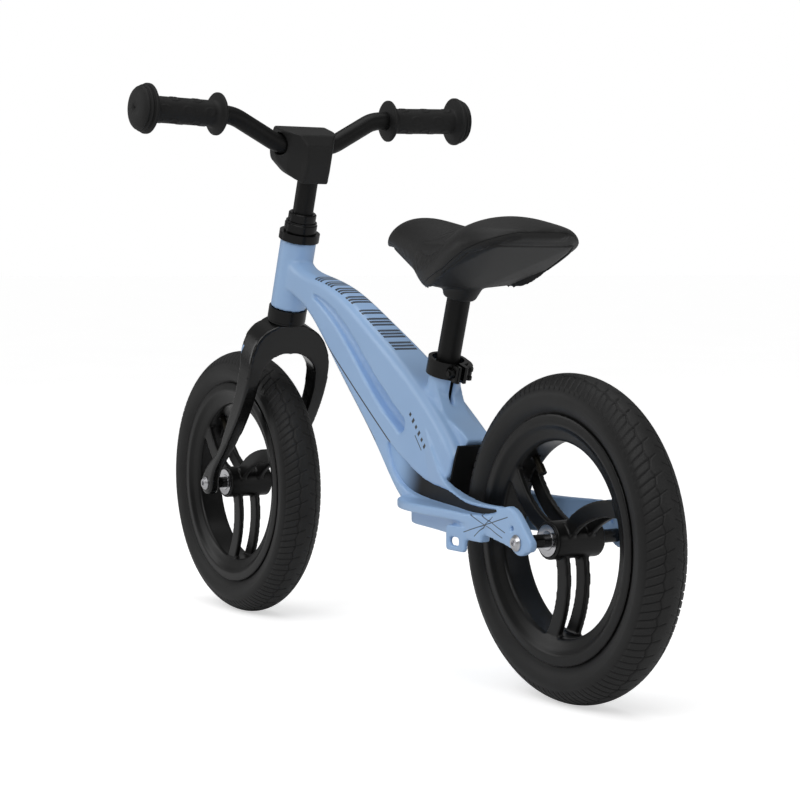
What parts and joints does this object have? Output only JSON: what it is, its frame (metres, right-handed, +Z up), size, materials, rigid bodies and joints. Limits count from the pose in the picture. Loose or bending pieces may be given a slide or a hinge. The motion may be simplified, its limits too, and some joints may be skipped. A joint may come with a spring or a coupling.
{
  "type": "balance bike",
  "caption": "Child's balance bike: cast frame with footrests and single-piece stays, steering fork, riser bar with safety grips, padded saddle on a clamped post, moulded wheels.",
  "frame": {"origin": "on the ground, midway between the axles and on the bike's middle plane", "axes": "+X forward (towards the front wheel), +Y to the rider's left, +Z up"},
  "size_m": [0.9008, 0.3964, 0.5668],
  "materials": {
    "frame_paint": "satin sky-blue powder coat over cast light alloy",
    "matte_black_panel": "matte",
    "gloss_black_metal": "gloss black paint",
    "satin_black_metal": "satin black coat",
    "fork_paint": "gloss black paint over light alloy",
    "black_alloy": "black anodised",
    "rim_plastic": "half-gloss moulded black",
    "moulded_black": "fine grain, matte",
    "grip_rubber": "matte",
    "tyre_rubber": "matte",
    "tube_rubber": "satin",
    "saddle_skin": "matte leather-grain skin over foam",
    "bright_steel": "bright zinc",
    "bearing_steel": "polished",
    "brass": "bright"
  },
  "bodies": {
    "frame": {"frame": "frame_paint", "inlay_left": "matte_black_panel", "inlay_right": "matte_black_panel", "wheel_guard": "matte_black_panel", "guard_screws": "gloss_black_metal", "upper_headset_cup": "gloss_black_metal", "lower_headset_cup": "gloss_black_metal", "upper_headset_balls": "bearing_steel", "lower_headset_balls": "bearing_steel", "seat_clamp_collar": "black_alloy", "seat_clamp_bolt": "satin_black_metal", "seat_clamp_nut": "satin_black_metal", "rear_axle": "satin_black_metal", "rear_axle_bolts": "bright_steel", "rear_bearing_inner_rings": "bearing_steel", "rear_hub_spacer": "black_alloy"},
    "clamp_lever": {"clamp_lever": "black_alloy"},
    "saddle": {"seat_post": "gloss_black_metal", "post_plug": "bright_steel", "saddle_bolt": "bright_steel", "saddle_base": "moulded_black", "saddle_pad": "saddle_skin"},
    "steering": {"steerer_tube": "satin_black_metal", "crown_race": "gloss_black_metal", "adjusting_cone": "gloss_black_metal", "lock_washer": "gloss_black_metal", "locknut": "gloss_black_metal", "fork": "fork_paint", "front_axle": "satin_black_metal", "front_axle_bolts": "bright_steel", "front_bearing_inner_rings": "bearing_steel", "front_hub_spacer": "black_alloy"},
    "handlebar": {"stem": "black_alloy", "bar_clamp_cap": "black_alloy", "clamp_cap_screws": "bright_steel", "expander_wedge": "satin_black_metal", "expander_bolt": "satin_black_metal", "handlebar": "satin_black_metal", "grip_left": "grip_rubber", "grip_right": "grip_rubber", "stem_cover": "moulded_black"},
    "front_wheel": {"front_rim": "rim_plastic", "front_tyre": "tyre_rubber", "front_inner_tube": "tube_rubber", "front_valve": "brass", "front_bearing_outer_rings": "bearing_steel", "front_bearing_balls": "bearing_steel"},
    "rear_wheel": {"rear_rim": "rim_plastic", "rear_tyre": "tyre_rubber", "rear_inner_tube": "tube_rubber", "rear_valve": "brass", "rear_bearing_outer_rings": "bearing_steel", "rear_bearing_balls": "bearing_steel"}
  },
  "joints": [
    {"name": "steering_turn", "type": "hinge", "parent": "frame", "child": "steering", "pos_m": [0.27232, 0, 0.13419], "axis": [-0.3107, 0, 0.9505], "continuous": true},
    {"name": "handlebar_height", "type": "slide", "parent": "steering", "child": "handlebar", "axis": [-0.3107, 0, 0.9505], "range_m": [-0.02, 0.03]},
    {"name": "front_wheel_spin", "type": "hinge", "parent": "steering", "child": "front_wheel", "pos_m": [0.3054, 0, 0.145], "axis": [0, 1, 0], "continuous": true},
    {"name": "rear_wheel_spin", "type": "hinge", "parent": "frame", "child": "rear_wheel", "pos_m": [-0.3054, 0, 0.145], "axis": [0, 1, 0], "continuous": true},
    {"name": "saddle_height", "type": "slide", "parent": "frame", "child": "saddle", "axis": [-0.304, 0, 0.9527], "range_m": [-0.02, 0.05]},
    {"name": "clamp_lever_swing", "type": "hinge", "parent": "frame", "child": "clamp_lever", "pos_m": [-0.12666, -0.0108, 0.28218], "axis": [-0.304, 0, 0.9527], "range_deg": [-150, 0]}
  ]
}
